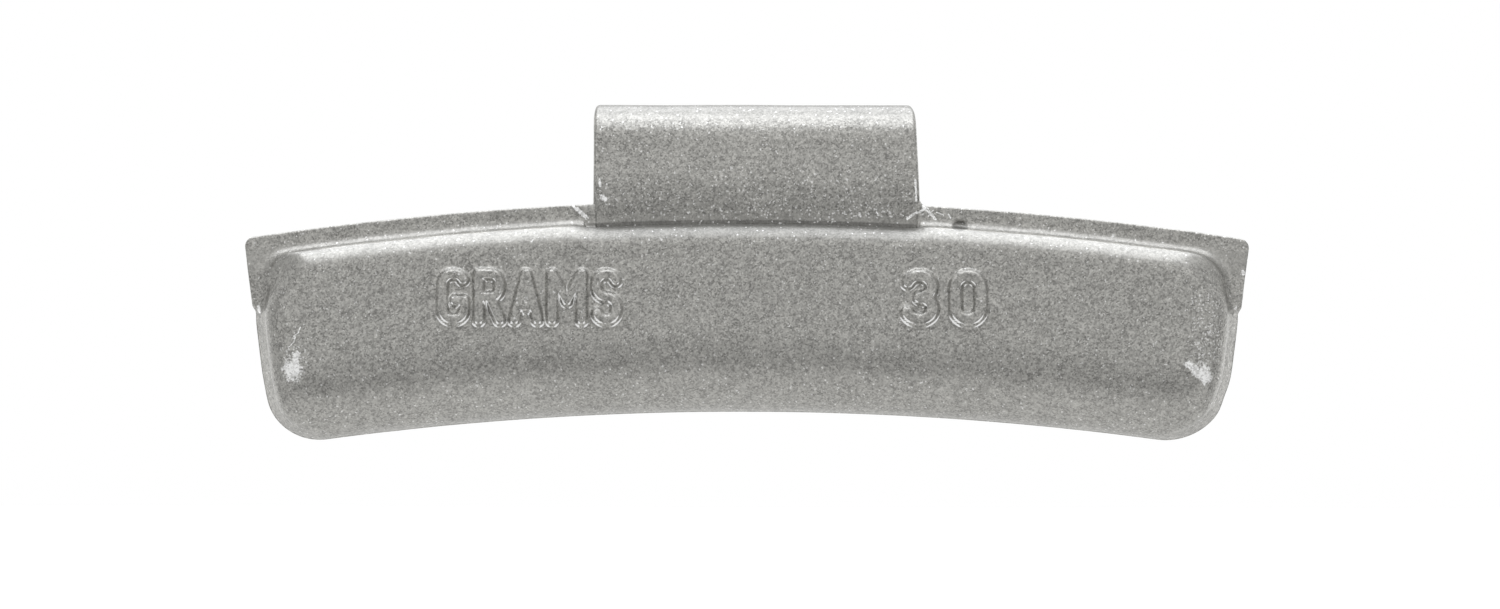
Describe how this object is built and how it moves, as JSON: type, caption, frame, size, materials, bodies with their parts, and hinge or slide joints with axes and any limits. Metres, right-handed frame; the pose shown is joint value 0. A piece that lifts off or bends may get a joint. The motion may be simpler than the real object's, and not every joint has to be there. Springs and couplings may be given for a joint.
{
  "type": "clip-on wheel balance weight",
  "caption": "Curved die-cast balance weight with a thin flange, soft-edged boss and a bent spring-steel clip that grips the edge of a wheel rim.",
  "frame": {"origin": "on the flat back that lies on the rim, at mid length and mid height of the casting", "axes": "+X along the rim, +Y out of the back towards the rim, +Z towards the rim's edge, where the clip is"},
  "size_m": [0.0718, 0.0086, 0.024],
  "materials": {
    "painted_zinc": "silver grey metallic paint with a fine grain",
    "painted_spring_steel": "the same silver grey paint on a bent spring strip"
  },
  "bodies": {
    "root": {"weight_body": "painted_zinc", "spring_clip": "painted_spring_steel"}
  },
  "joints": []
}
